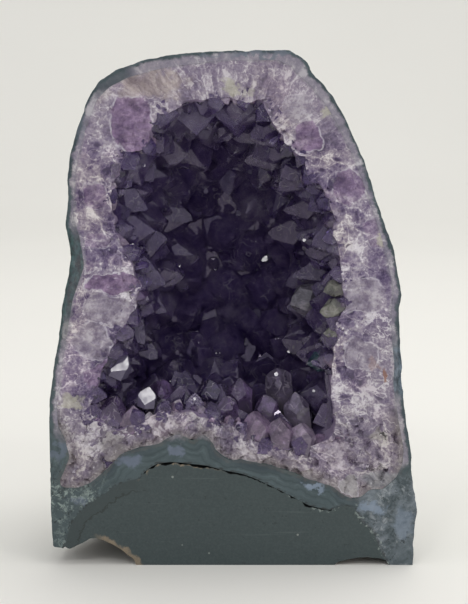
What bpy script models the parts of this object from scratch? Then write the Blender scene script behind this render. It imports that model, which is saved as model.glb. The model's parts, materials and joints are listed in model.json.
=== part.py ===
"""Amethyst geode: a sawn half of a small cathedral geode that stands on its sawn base.

The sawn front face looks along -Y, the base lies on z = 0, and the origin is under the middle.
Four solids nest in each other: the basalt under the arch, the agate rind, the pale quartz wall
and the crust of amethyst crystals that lines the hollow. All sizes are metres.
"""
import math
import random

import bmesh
import bpy
from mathutils import Matrix, Vector, noise

MM = 0.001
DEPTH = 116 * MM
FRONT = -57.1 * MM
GAP = 0.3 * MM
SAW_CLEARANCE = 12 * MM

# Outlines of the sawn face, x and z in millimetres, clockwise as seen from the front.
OUTER = [
    (-93, 8), (-93.5, 26), (-93.5, 62), (-93, 86), (-91, 102), (-87.5, 122), (-85.5, 138),
    (-81, 160), (-83.5, 178), (-82, 190), (-82.5, 199), (-81, 209), (-76.5, 225), (-71.5, 239),
    (-66.5, 246), (-58.5, 251.5), (-46.5, 256), (-28.5, 259.5), (3, 261.5), (28.5, 261.5),
    (32, 258.5), (36.5, 255), (37.5, 250), (43.5, 245), (49, 238), (55, 228), (64, 208.5),
    (73.5, 180), (80, 161), (84, 141), (82.5, 131), (83, 119), (84.5, 104), (84, 95),
    (87.5, 74), (90.5, 56), (90, 50), (93.5, 28), (91.5, 11.5), (92.5, 4),
    (90, -18), (76, -42), (45, -56), (0, -60), (-45, -56), (-76, -42), (-90, -18),
]
QUARTZ = [
    (-79, 40), (-89, 40), (-90, 44), (-87, 50), (-84, 57), (-86, 65), (-90, 73),
    (-90.5, 86), (-88.5, 98), (-85, 118), (-81.5, 138), (-75, 156), (-77, 168),
    (-80.5, 180), (-79.5, 198), (-77.5, 210), (-73, 226), (-68, 238), (-62, 244), (-52, 249),
    (-35, 253.5), (-7, 257), (22, 257.5), (28.5, 254.5), (32, 250), (38, 245), (45, 236),
    (52, 225), (60.5, 208), (69.5, 184), (77, 160), (80.5, 142), (79.5, 131), (80, 118),
    (81.5, 103), (81, 94), (84, 75), (87, 60), (86.5, 53), (83, 45), (76, 39), (69, 39),
    (65, 35), (60, 34), (55, 36.5), (50, 41), (38, 44.5), (29, 48.5), (18, 52), (3, 55),
    (-3, 54.5), (-9.5, 59), (-12, 65), (-16, 68), (-21, 64.5), (-29, 68.5), (-34, 66),
    (-38, 63), (-50, 60.5), (-57.5, 58), (-65, 49.5), (-73, 42.5),
]
HOLLOW = [
    (-40, 234), (-33, 232), (-24, 238), (-9, 239.5), (7, 238.5), (16, 238), (19, 229),
    (25, 219), (29, 212.5), (37.5, 210), (38, 199), (44, 195), (49, 190), (51, 176), (53, 162),
    (56, 148), (58, 134), (53, 126), (51.5, 108), (49.5, 95), (52, 80), (53, 68), (44, 61),
    (28, 59), (10, 63), (-6, 73), (-22, 79), (-38, 80), (-46, 73), (-60, 69.5), (-72, 74),
    (-75, 84), (-69, 98), (-64, 110), (-60, 122), (-50, 134), (-48, 146), (-55, 160),
    (-61, 176), (-64, 190), (-58, 204), (-54, 214), (-43, 215), (-40, 224),
]
ARCH = [
    (-95, -12), (-90, 2), (-86, 14), (-85, 18.5), (-81.5, 26), (-75.5, 31.5), (-70, 35.5),
    (-61, 42), (-53, 45.5), (-49, 45.5), (-45, 50.5), (-39.5, 54), (-31.5, 55), (-22, 54),
    (-14, 53), (-5, 50.5), (3, 49), (9, 47), (16.5, 43.5), (26.5, 38.5), (38.5, 32),
    (48.5, 29.5), (56, 32), (62, 30.5), (66.5, 22), (71.5, 18.5), (74.5, 10.5), (79, 1.5),
    (84, -12),
]
LEFT_CHIP = [
    (-104, -9), (-104, 9.5), (-91, 10), (-84.5, 8), (-79, 11), (-72.5, 14.5), (-66, 13),
    (-58.5, 9), (-51, 3), (-42, -9),
]
RIGHT_CHIP = [(44, -9), (49, 0), (54, 1.3), (60, 2.6), (69, 3.2), (76, 2.6), (81, 0.5), (86, -9)]

# Each volume narrows towards its own centre, x and z, as it runs back from the sawn face.
OUTER_CENTRE = (0, 102)
QUARTZ_CENTRE = (2, 138)
HOLLOW_CENTRE = (4, 136)
QUARTZ_DEPTH = 94 * MM
HOLLOW_DEPTH = 82 * MM
LEFT_CHIP_DEPTH = 52 * MM
RIGHT_CHIP_DEPTH = 34 * MM
# The real crack along the arch is wider than the clearance between the other solids.
ARCH_GAP = 0.5 * MM
# The last ring stands just short of the full depth, where the form is nearly closed.
LAST_RING = 0.992
# A nested form is shorter by this many gaps, because its gap thins out as it narrows.
END_FACTOR = 2
EASINGS = 2

# Broken rock dips below the even form more than it stands proud of it, and the roughness
# fades in behind the sawn face.
INWARD = 0.25
FADE_IN = 16 * MM
OUTER_ROUGHNESS = (5.0 * MM, 46 * MM)
QUARTZ_ROUGHNESS = (1.6 * MM, 40 * MM)
MERGE = 1e-7

# The crust is a lining with crystals rooted in it, all pointing into the hollow.
LINING = 3.6 * MM
CRYSTAL_SPACING = 16.6 * MM
CRYSTAL_RADIUS = (9.6 * MM, 13.0 * MM)
ROOT = 7.0 * MM
SHOULDER = (-2.0 * MM, 2.6 * MM)
# A quartz tip's faces stand at 38.2 degrees to the crystal's length.
TIP_SLOPE = math.radians(38.2)
# Three of its six faces start lower on the crystal, and so are larger, than the three between.
LOW_FACE = (-0.4 * MM, 0.8 * MM)
HIGH_FACE = (0.9 * MM, 3.0 * MM)
LEAN = 0.27
# Crystals just inside the mouth are smaller and lean back, so the saw cuts little off them.
MOUTH_BAND = 9 * MM
MOUTH_SIZE = 0.72
MOUTH_CLEAR = 2 * MM
TRIES = 9000
SEED = 17

BASALT_COLOUR = (0.055, 0.078, 0.08)
AGATE_COLOUR = (0.13, 0.19, 0.2)
QUARTZ_COLOUR = (0.5, 0.4, 0.52)
AMETHYST_COLOUR = (0.12, 0.05, 0.2)
QUARTZ_IOR = 1.544


def clear_scene():
    for thing in list(bpy.data.objects):
        bpy.data.objects.remove(thing, do_unlink=True)


def new_collection(name):
    group = bpy.data.collections.new(name)
    bpy.context.scene.collection.children.link(group)
    return group


def new_object(name, bm, group):
    """Turn a bmesh into an object in one of the collections."""
    bmesh.ops.recalc_face_normals(bm, faces=bm.faces[:])
    mesh = bpy.data.meshes.new(name)
    bm.to_mesh(mesh)
    bm.free()
    thing = bpy.data.objects.new(name, mesh)
    group.objects.link(thing)
    return thing


def as_cutter(thing):
    thing.hide_render = True
    thing.display_type = "WIRE"
    return thing


def mineral(name, colour, roughness, transmission=0.0):
    """A Principled material for one mineral."""
    material = bpy.data.materials.new(name)
    material.use_nodes = True
    shader = material.node_tree.nodes["Principled BSDF"]
    shader.inputs["Base Color"].default_value = (*colour, 1.0)
    shader.inputs["Roughness"].default_value = roughness
    shader.inputs["Metallic"].default_value = 0.0
    shader.inputs["Transmission Weight"].default_value = transmission
    shader.inputs["IOR"].default_value = QUARTZ_IOR
    material.diffuse_color = (*colour, 1.0)
    return material


def grown(outline, by):
    """The outline in metres, moved outwards by a distance (inwards where it is negative)."""
    points = [Vector((x * MM, z * MM)) for x, z in outline]
    moved = []
    for index, point in enumerate(points):
        before = (point - points[index - 1]).normalized()
        after = (points[(index + 1) % len(points)] - point).normalized()
        along = (before + after).normalized()
        moved.append(point + Vector((-along.y, along.x)) * by)
    return moved


def roundness(share, fullness):
    """How wide a volume still is, at a share of its depth."""
    return max(0.0, 1.0 - share ** fullness) ** (1.0 / fullness)


def ease(ring):
    """Round off a ring of points, so that the outline's small steps fade with depth."""
    eased = []
    for index, point in enumerate(ring):
        neighbours = (ring[index - 1] + ring[(index + 1) % len(ring)]) / 2
        eased.append(point.lerp(neighbours, 0.5))
    return eased


def narrowing_rings(outline, centre, depth, by, steps, fullness):
    """Rings from before the sawn face back, each narrower than the last and rounder."""
    middle = Vector((centre[0] * MM, centre[1] * MM))
    ring, width = grown(outline, by), 1.0
    rings = [(FRONT - SAW_CLEARANCE, ring)]
    for step in range(steps + 1):
        share = math.sin(math.pi / 2 * step / steps) * LAST_RING
        narrower = roundness(share, fullness)
        ring = [middle + (point - middle) * (narrower / width) for point in ring]
        width = narrower
        for _ in range(EASINGS if step else 0):
            ring = ease(ring)
        rings.append((FRONT + share * (depth + END_FACTOR * by), ring))
    return rings


def narrowing_form(outline, centre, depth, by, steps, fullness):
    """Loft the narrowing rings into one closed form, every quad split along the same diagonal,
    so that two nested forms never cross."""
    bm = bmesh.new()
    rings = narrowing_rings(outline, centre, depth, by, steps, fullness)
    loops = [[bm.verts.new((p.x, place, p.y)) for p in ring] for place, ring in rings]
    for near, far in zip(loops, loops[1:]):
        for index in range(len(near)):
            after = (index + 1) % len(near)
            bm.faces.new((near[index], near[after], far[index]))
            bm.faces.new((near[after], far[after], far[index]))
    bm.faces.new(loops[0])
    end = bm.verts.new(sum((vert.co for vert in loops[-1]), Vector()) / len(loops[-1]))
    for index, vert in enumerate(loops[-1]):
        bm.faces.new((loops[-1][index - 1], vert, end))
    return bm


def roughen(bm, centre, roughness, shift):
    """Push the surface in and out as broken rock, leaving the sawn face's outline alone."""
    height, grain = roughness
    middle = Vector((centre[0] * MM, FRONT + DEPTH / 3, centre[1] * MM))
    for vert in bm.verts:
        away = min(1.0, max(0.0, (vert.co.y - FRONT) / FADE_IN))
        swell = noise.noise(vert.co / grain + shift)
        swell += 0.5 * noise.noise(vert.co / (grain * 0.45) + shift) - INWARD
        vert.co += (vert.co - middle).normalized() * (height * swell * away)


def cut_flat(bm, place, away):
    """Saw off what lies on the far side of a plane, and close the cut."""
    everything = bm.verts[:] + bm.edges[:] + bm.faces[:]
    bmesh.ops.bisect_plane(bm, geom=everything, dist=MERGE, plane_co=place, plane_no=away,
                           clear_outer=True)
    bmesh.ops.holes_fill(bm, edges=[edge for edge in bm.edges if edge.is_boundary], sides=0)


def sawn(bm):
    """The same form, cut off at the sawn face."""
    cut_flat(bm, (0, FRONT, 0), (0, -1, 0))
    return bm


def outer_form():
    """The whole geode as a block: sawn in front and below, broken rock elsewhere."""
    bm = narrowing_form(OUTER, OUTER_CENTRE, DEPTH, 0.0, steps=8, fullness=2.5)
    roughen(bm, OUTER_CENTRE, OUTER_ROUGHNESS, Vector((3.1, 0.4, 7.7)))
    cut_flat(bm, (0, 0, 0), (0, 0, -1))
    return sawn(bm)


def quartz_form(by):
    """All that lies inside the rind, grown or shrunk by a distance."""
    bm = narrowing_form(QUARTZ, QUARTZ_CENTRE, QUARTZ_DEPTH, by, steps=6, fullness=2.3)
    roughen(bm, QUARTZ_CENTRE, QUARTZ_ROUGHNESS, Vector((1.0, 5.0, 2.0)))
    return bm


def hollow_form(by):
    """All that lies inside the pale quartz, grown or shrunk by a distance."""
    return narrowing_form(HOLLOW, HOLLOW_CENTRE, HOLLOW_DEPTH, by, steps=6, fullness=2.2)


def prism_along_y(outline, by, front, back, end_width=1.0):
    """A straight or tapering bar whose section is an outline of the front face."""
    bm = bmesh.new()
    points = grown(outline, by)
    face = bm.faces.new([bm.verts.new((p.x, front, p.y)) for p in points])
    extruded = bmesh.ops.extrude_face_region(bm, geom=[face])
    moved = [item for item in extruded["geom"] if isinstance(item, bmesh.types.BMVert)]
    middle = sum((vert.co for vert in moved), Vector()) / len(moved)
    middle.z = 0.0
    bmesh.ops.scale(bm, vec=Vector((end_width, 1.0, end_width)), verts=moved,
                    space=Matrix.Translation(-middle))
    bmesh.ops.translate(bm, vec=(0.0, back - front, 0.0), verts=moved)
    return bm


def crystal(draw, place, along, radius, shoulder):
    """A six-sided quartz point: a prism whose tip is cut by six sloping planes."""
    bm = bmesh.new()
    length = ROOT + shoulder + radius / math.tan(TIP_SLOPE) + HIGH_FACE[1]
    bmesh.ops.create_cone(bm, cap_ends=True, segments=6, radius1=radius, radius2=radius,
                          depth=length)
    bmesh.ops.translate(bm, vec=(0, 0, length / 2 - ROOT), verts=bm.verts[:])
    apothem = radius * math.cos(math.pi / 6)
    for side in range(6):
        turn = math.pi / 6 + side * math.pi / 3
        outward = Vector((math.cos(turn), math.sin(turn), 0))
        normal = (outward * math.cos(TIP_SLOPE) + Vector((0, 0, 1)) * math.sin(TIP_SLOPE))
        lift = draw.uniform(*(LOW_FACE if side % 2 else HIGH_FACE))
        edge_point = outward * apothem + Vector((0, 0, shoulder + lift))
        everything = bm.verts[:] + bm.edges[:] + bm.faces[:]
        bmesh.ops.bisect_plane(bm, geom=everything, dist=MERGE, plane_co=edge_point,
                               plane_no=normal, clear_outer=True)
        bmesh.ops.holes_fill(bm, edges=[e for e in bm.edges if e.is_boundary], sides=0)
    turn = Matrix.Rotation(draw.uniform(0, math.pi / 3), 4, "Z")
    lie = along.to_track_quat("Z", "Y").to_matrix().to_4x4()
    bmesh.ops.transform(bm, matrix=Matrix.Translation(place) @ lie @ turn, verts=bm.verts[:])
    return bm


def spread_on(bm, spacing, draw):
    """Points on a surface, no two nearer than the spacing, with the surface's direction."""
    bm.normal_update()
    faces = [face for face in bm.faces if len(face.verts) == 3]
    areas = [face.calc_area() for face in faces]
    chosen = []
    for face in draw.choices(faces, weights=areas, k=TRIES):
        a, b = draw.random(), draw.random()
        if a + b > 1:
            a, b = 1 - a, 1 - b
        one, two, three = (vert.co for vert in face.verts)
        point = one + (two - one) * a + (three - one) * b
        if point.y < FRONT + MOUTH_CLEAR:
            continue
        if all((point - other).length > spacing for other, _ in chosen):
            chosen.append((point, -face.normal))
    return chosen


def make_crystals(group):
    """The points that line the hollow, each a closed solid, ready to be joined to the lining."""
    draw = random.Random(SEED)
    lining = hollow_form(-LINING)
    bmesh.ops.recalc_face_normals(lining, faces=lining.faces[:])
    for number, (place, inward) in enumerate(spread_on(lining, CRYSTAL_SPACING, draw)):
        sway = Vector([draw.uniform(-1, 1) for _ in range(3)]) * LEAN
        radius = draw.uniform(*CRYSTAL_RADIUS)
        shoulder = draw.uniform(*SHOULDER)
        if place.y < FRONT + MOUTH_BAND:
            sway.y = LEAN
            radius *= MOUTH_SIZE
        point = crystal(draw, place, (inward + sway).normalized(), radius, shoulder)
        as_cutter(new_object(f"point_{number:03d}", point, group))
    lining.free()


def largest_piece(thing):
    """Keep only the biggest loose piece of an object's evaluated mesh, as a new mesh."""
    graph = bpy.context.evaluated_depsgraph_get()
    bm = bmesh.new()
    bm.from_mesh(bpy.data.meshes.new_from_object(thing.evaluated_get(graph)))
    left = set(bm.verts)
    pieces = []
    while left:
        piece, reach = set(), [left.pop()]
        while reach:
            vert = reach.pop()
            piece.add(vert)
            near = {edge.other_vert(vert) for edge in vert.link_edges} & left
            left -= near
            reach.extend(near)
        pieces.append(piece)
    keep = max(pieces, key=len)
    bmesh.ops.delete(bm, geom=[v for v in bm.verts if v not in keep], context="VERTS")
    return bm


def boolean(thing, operation, other):
    """Cut or intersect with an object, or with a whole collection of them."""
    step = thing.modifiers.new(operation.lower(), "BOOLEAN")
    step.operation = operation
    step.solver = "EXACT"
    if isinstance(other, bpy.types.Collection):
        step.operand_type = "COLLECTION"
        step.collection = other
    else:
        step.object = other


def make_basalt(parts, cutters):
    """The polished basalt lens under the arch, sawn flat below, with two chipped feet."""
    lens = prism_along_y(ARCH, -ARCH_GAP, FRONT - SAW_CLEARANCE, -FRONT + SAW_CLEARANCE)
    base = new_object("basalt_base", lens, parts)
    boolean(base, "INTERSECT", cutters["outer"])
    boolean(base, "DIFFERENCE", cutters["left_chip"])
    boolean(base, "DIFFERENCE", cutters["right_chip"])
    base.data.materials.append(mineral("polished_basalt", BASALT_COLOUR, 0.3))


def make_rind(parts, cutters):
    """The agate and celadonite skin round the quartz, thick at the feet and behind."""
    rind = new_object("agate_rind", outer_form(), parts)
    boolean(rind, "DIFFERENCE", cutters["quartz_space"])
    boolean(rind, "DIFFERENCE", cutters["arch"])
    boolean(rind, "DIFFERENCE", cutters["left_chip"])
    boolean(rind, "DIFFERENCE", cutters["right_chip"])
    rind.data.materials.append(mineral("agate_and_celadonite", AGATE_COLOUR, 0.5))


def make_quartz(parts, cutters):
    """The pale massive quartz between the rind and the amethyst."""
    quartz = new_object("quartz_wall", sawn(quartz_form(-GAP)), parts)
    boolean(quartz, "DIFFERENCE", cutters["hollow"])
    quartz.data.materials.append(mineral("pale_quartz", QUARTZ_COLOUR, 0.35, 0.2))


def make_crust(parts, group, points):
    """One crust of amethyst: a thin lining and every crystal rooted in it, sawn flush."""
    air = as_cutter(new_object("air_between", hollow_form(-LINING), group))
    boolean(air, "DIFFERENCE", points)
    bpy.context.view_layer.update()
    free_air = as_cutter(new_object("free_air", largest_piece(air), group))
    crust = new_object("crystal_crust", sawn(hollow_form(-GAP)), parts)
    boolean(crust, "DIFFERENCE", free_air)
    crust.data.materials.append(mineral("amethyst", AMETHYST_COLOUR, 0.08, 0.8))


def main():
    clear_scene()
    parts = new_collection("amethyst_geode")
    group = new_collection("cutters")
    points = new_collection("crystal_points")
    before_face = FRONT - SAW_CLEARANCE
    forms = {
        "outer": outer_form(),
        "quartz_space": quartz_form(0.0),
        "hollow": hollow_form(0.0),
        "arch": prism_along_y(ARCH, 0.0, before_face, -before_face),
        "left_chip": prism_along_y(LEFT_CHIP, 0.0, before_face, FRONT + LEFT_CHIP_DEPTH, 0.72),
        "right_chip": prism_along_y(RIGHT_CHIP, 0.0, before_face, FRONT + RIGHT_CHIP_DEPTH, 0.8),
    }
    cutters = {name: as_cutter(new_object(name, bm, group)) for name, bm in forms.items()}
    make_crystals(points)
    make_basalt(parts, cutters)
    make_rind(parts, cutters)
    make_quartz(parts, cutters)
    make_crust(parts, group, points)


main()
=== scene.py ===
import json
import math
import random

import bpy
import numpy as np
from mathutils import Matrix, Vector, kdtree, noise
from mathutils.bvhtree import BVHTree

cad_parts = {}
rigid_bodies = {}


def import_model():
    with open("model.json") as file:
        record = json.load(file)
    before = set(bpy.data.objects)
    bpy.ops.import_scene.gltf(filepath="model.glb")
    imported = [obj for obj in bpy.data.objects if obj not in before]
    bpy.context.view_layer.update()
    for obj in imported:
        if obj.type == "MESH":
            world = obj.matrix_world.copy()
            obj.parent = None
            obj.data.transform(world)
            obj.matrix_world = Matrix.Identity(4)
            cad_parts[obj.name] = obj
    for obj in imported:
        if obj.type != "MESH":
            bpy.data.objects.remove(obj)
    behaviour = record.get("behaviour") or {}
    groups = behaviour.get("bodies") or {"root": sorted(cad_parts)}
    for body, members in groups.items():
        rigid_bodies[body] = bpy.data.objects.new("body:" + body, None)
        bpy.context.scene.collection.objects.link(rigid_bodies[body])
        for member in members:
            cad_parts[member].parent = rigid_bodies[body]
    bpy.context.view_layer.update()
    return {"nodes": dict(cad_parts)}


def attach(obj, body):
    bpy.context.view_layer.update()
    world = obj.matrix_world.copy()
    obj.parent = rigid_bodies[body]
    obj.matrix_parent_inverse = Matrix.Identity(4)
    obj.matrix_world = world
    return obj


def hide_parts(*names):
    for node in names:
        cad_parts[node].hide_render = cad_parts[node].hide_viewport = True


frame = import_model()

# Sizes in metres: x to the right, y into the stone, z up
MM = 0.001
WIDTH, DEPTH, HEIGHT = 187 * MM, 114.35 * MM, 261.5 * MM
FRONT = -57.1 * MM          # plane of the sawn face

# Each body's face stands this far behind the rind's, so that none lie in one plane
BASALT_FACE = 0.04 * MM
QUARTZ_FACE = 0.08 * MM
CRUST_FACE = 0.7 * MM

# Outlines on the sawn face, in millimetres across and up
OUTER = [
    (-93, 8), (-93.5, 26), (-93.5, 62), (-93, 86), (-91, 102), (-87.5, 122), (-85.5, 138), (-81, 160),
    (-83.5, 178), (-82, 190), (-82.5, 199), (-81, 209), (-76.5, 225), (-71.5, 239), (-66.5, 246),
    (-58.5, 251.5), (-46.5, 256), (-28.5, 259.5), (3, 261.5), (28.5, 261.5), (32, 258.5), (36.5, 255),
    (37.5, 250), (43.5, 245), (49, 238), (55, 228), (64, 208.5), (73.5, 180), (80, 161), (84, 141),
    (82.5, 131), (83, 119), (84.5, 104), (84, 95), (87.5, 74), (90.5, 56), (90, 50), (93.5, 28),
    (91.5, 11.5), (92.5, 4), (92, -10), (-93, -10),
]
QUARTZ = [
    (-79, 40), (-89, 40), (-90, 44), (-87, 50), (-84, 57), (-86, 65), (-90, 73), (-90.5, 86), (-88.5, 98),
    (-85, 118), (-81.5, 138), (-75, 156), (-77, 168), (-80.5, 180), (-79.5, 198), (-77.5, 210), (-73, 226),
    (-68, 238), (-62, 244), (-52, 249), (-35, 253.5), (-7, 257), (22, 257.5), (28.5, 254.5), (32, 250),
    (38, 245), (45, 236), (52, 225), (60.5, 208), (69.5, 184), (77, 160), (80.5, 142), (79.5, 131),
    (80, 118), (81.5, 103), (81, 94), (84, 75), (87, 60), (86.5, 53), (83, 45), (76, 39), (69, 39),
    (65, 35), (60, 34), (55, 36.5), (50, 41), (38, 44.5), (29, 48.5), (18, 52), (3, 55), (-3, 54.5),
    (-9.5, 59), (-12, 65), (-16, 68), (-21, 64.5), (-29, 68.5), (-34, 66), (-38, 63), (-50, 60.5),
    (-57.5, 58), (-65, 49.5), (-73, 42.5),
]
HOLLOW = [
    (-40, 234), (-33, 232), (-24, 238), (-9, 239.5), (7, 238.5), (16, 238), (19, 229), (25, 219), (29, 212.5),
    (37.5, 210), (38, 199), (44, 195), (49, 190), (51, 176), (53, 162), (56, 148), (58, 134), (53, 126),
    (51.5, 108), (49.5, 95), (52, 80), (53, 68), (44, 61), (28, 59), (10, 63), (-6, 73), (-22, 79), (-38, 80),
    (-46, 73), (-60, 69.5), (-72, 74), (-75, 84), (-69, 98), (-64, 110), (-60, 122), (-50, 134), (-48, 146),
    (-55, 160), (-61, 176), (-64, 190), (-58, 204), (-54, 214), (-43, 215), (-40, 224)
]
ARCH = [
    (-95, -12), (-90, 2), (-86, 14), (-85, 18.5), (-81.5, 26), (-75.5, 31.5), (-70, 35.5), (-61, 42),
    (-53, 45.5), (-49, 45.5), (-45, 50.5), (-39.5, 54), (-31.5, 55), (-22, 54), (-14, 53), (-5, 50.5),
    (3, 49), (9, 47), (16.5, 43.5), (26.5, 38.5), (38.5, 32), (48.5, 29.5), (56, 32), (62, 30.5),
    (66.5, 22), (71.5, 18.5), (74.5, 10.5), (79, 1.5), (84, -12),
]
FOOT_CHIP = [
    (-104, 9.5), (-91, 10), (-84.5, 8), (-79, 11), (-72.5, 14.5), (-66, 13), (-58.5, 9), (-51, 3), (-42, -9)
]

RIM_SEED = 5
CRUST_SEED = 23


# Selecting and shaping

def deselect():
    bpy.ops.object.select_all(action="DESELECT")


def only(piece):
    deselect()
    piece.select_set(True)
    bpy.context.view_layer.objects.active = piece


def edit(piece):
    only(piece)
    bpy.ops.object.mode_set(mode="EDIT")


def leave_edit():
    bpy.ops.object.mode_set(mode="OBJECT")


def pick_vertices(piece, test):
    edit(piece)
    bpy.ops.mesh.select_mode(type="VERT")
    bpy.ops.mesh.select_all(action="DESELECT")
    leave_edit()
    for vertex in piece.data.vertices:
        vertex.select = test(vertex.co)
    edit(piece)


def apply_modifier(piece, kind, **settings):
    only(piece)
    modifier = piece.modifiers.new("step", kind)
    for name, value in settings.items():
        setattr(modifier, name, value)
    bpy.ops.object.modifier_apply(modifier="step")


def points_of(piece):
    values = np.zeros(len(piece.data.vertices) * 3)
    piece.data.vertices.foreach_get("co", values)
    return values.reshape(-1, 3)


def copied_node(node, name):
    """A welded copy of a frame node, to be worked on as a new piece."""
    piece = bpy.data.objects.new(name, frame["nodes"][node].data.copy())
    bpy.context.scene.collection.objects.link(piece)
    piece.data.materials.clear()
    edit(piece)
    bpy.ops.mesh.select_all(action="SELECT")
    bpy.ops.mesh.remove_doubles(threshold=1e-6)
    leave_edit()
    return piece


def past_the_saw(piece, front, foot):
    """Carries the flat ends past the saw cuts, so that remeshing rounds no sawn edge."""
    pick_vertices(piece, lambda co: co.y < FRONT + 0.01 * MM)
    bpy.ops.transform.translate(value=(0, -front, 0))
    leave_edit()
    if foot:
        pick_vertices(piece, lambda co: co.z < 0.01 * MM)
        bpy.ops.transform.translate(value=(0, 0, -foot))
        leave_edit()


def free_skin(piece, neighbours):
    """Groups the vertices that face no neighbouring body, and returns the numbers of the others."""
    trees = []
    for node in neighbours:
        mesh = frame["nodes"][node].data
        corners = [vertex.co for vertex in mesh.vertices]
        trees.append(BVHTree.FromPolygons(corners, [polygon.vertices[:] for polygon in mesh.polygons]))
    free = []
    touching = []
    for vertex in piece.data.vertices:
        start = vertex.co - vertex.normal * 0.4 * MM
        start.y = max(start.y, FRONT + 1.0 * MM)
        open_air = all(tree.ray_cast(start, vertex.normal, 3 * MM)[0] is None for tree in trees)
        (free if open_air else touching).append(vertex.index)
    piece.vertex_groups.new(name="skin").add(free, 1.0, "REPLACE")
    return touching


def rough(piece, size, depth, middle=1.0):
    """Pits the free skin by up to the depth, with lumps of the size."""
    texture = bpy.data.textures.new("pits", "CLOUDS")
    texture.noise_scale = size
    apply_modifier(
        piece, "DISPLACE", texture=texture, strength=depth, mid_level=middle, texture_coords="LOCAL",
        vertex_group="skin"
    )


def saw_block(cell, face):
    """A block that stands for what the saw left, with a fine flat front."""
    bpy.ops.mesh.primitive_grid_add(
        x_subdivisions=round(WIDTH / cell),
        y_subdivisions=round(HEIGHT / cell),
        size=1,
        location=(0, FRONT + face, HEIGHT / 2),
        rotation=(math.pi / 2, 0, 0),
    )
    block = bpy.context.object
    block.scale = (WIDTH, HEIGHT, 1)
    only(block)
    bpy.ops.object.transform_apply(location=True, rotation=True, scale=True)
    edit(block)
    bpy.ops.mesh.select_all(action="SELECT")
    bpy.ops.mesh.extrude_region_move(TRANSFORM_OT_translate={"value": (0, DEPTH - face, 0)})
    bpy.ops.mesh.select_all(action="SELECT")
    bpy.ops.mesh.normals_make_consistent(inside=False)
    leave_edit()
    return block


def sawn(piece, cell, face):
    block = saw_block(cell, face)
    apply_modifier(piece, "BOOLEAN", operation="INTERSECT", solver="MANIFOLD", object=block)
    bpy.data.objects.remove(block)


def smooth_but_sharp(piece, degrees):
    only(piece)
    bpy.ops.object.shade_smooth_by_angle(angle=math.radians(degrees))


def two_finishes(piece, face, polished, natural):
    """The sawn face takes the polished finish, and all the rest the natural one."""
    piece.data.materials.clear()
    piece.data.materials.append(natural)
    piece.data.materials.append(polished)
    for polygon in piece.data.polygons:
        on_face = polygon.center.y < FRONT + face + 0.02 * MM and polygon.normal.y < -0.9
        polygon.material_index = 1 if on_face else 0


# Distances to the outlines

def along(outline, closed=True):
    points = np.array(outline, float) * MM
    ends = np.roll(points, -1, axis=0) if closed else points[1:]
    starts = points if closed else points[:-1]
    return starts, ends


def distance_to(outline, points, closed=True):
    """Each point's distance to an outline on the sawn face."""
    starts, ends = along(outline, closed)
    best = np.full(len(points), np.inf)
    for start, end in zip(starts, ends):
        side = end - start
        share = np.clip(((points - start) @ side) / (side @ side), 0, 1)
        best = np.minimum(best, np.linalg.norm(points - (start + share[:, None] * side), axis=1))
    return best


def round_the_spine(points):
    """How far round the stone each point lies, measured about an upright line in the hollow's middle."""
    low, high, radius = 0.1, 0.2, 0.065
    nearest = np.clip(points[:, 1], low, high)
    turn = np.arctan2(points[:, 1] - nearest, points[:, 0])
    turn = np.where(turn < -math.pi / 2, turn + 2 * math.pi, turn)
    return radius * turn + np.where(points[:, 0] > 0, nearest, -nearest)


def keep(piece, name, values):
    """Stores one number or one vector on each vertex."""
    values = np.asarray(values, np.float32)
    kind = "FLOAT" if values.ndim == 1 else "FLOAT_VECTOR"
    field = "value" if values.ndim == 1 else "vector"
    layer = piece.data.attributes.new(name, kind, "POINT")
    layer.data.foreach_set(field, values.ravel())


# Finishes

def shade(red, green, blue):
    """A screen colour, 0 to 255, as the linear colour that shaders take."""
    def linear(part):
        part = part / 255
        return part / 12.92 if part <= 0.04045 else ((part + 0.055) / 1.055) ** 2.4
    return (linear(red), linear(green), linear(blue))


SPOT_STRAYS = 18 * MM       # how far noise bends the edge of a painted spot
CRYSTAL_STRAYS = 11 * MM    # and that of a cut crystal


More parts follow.
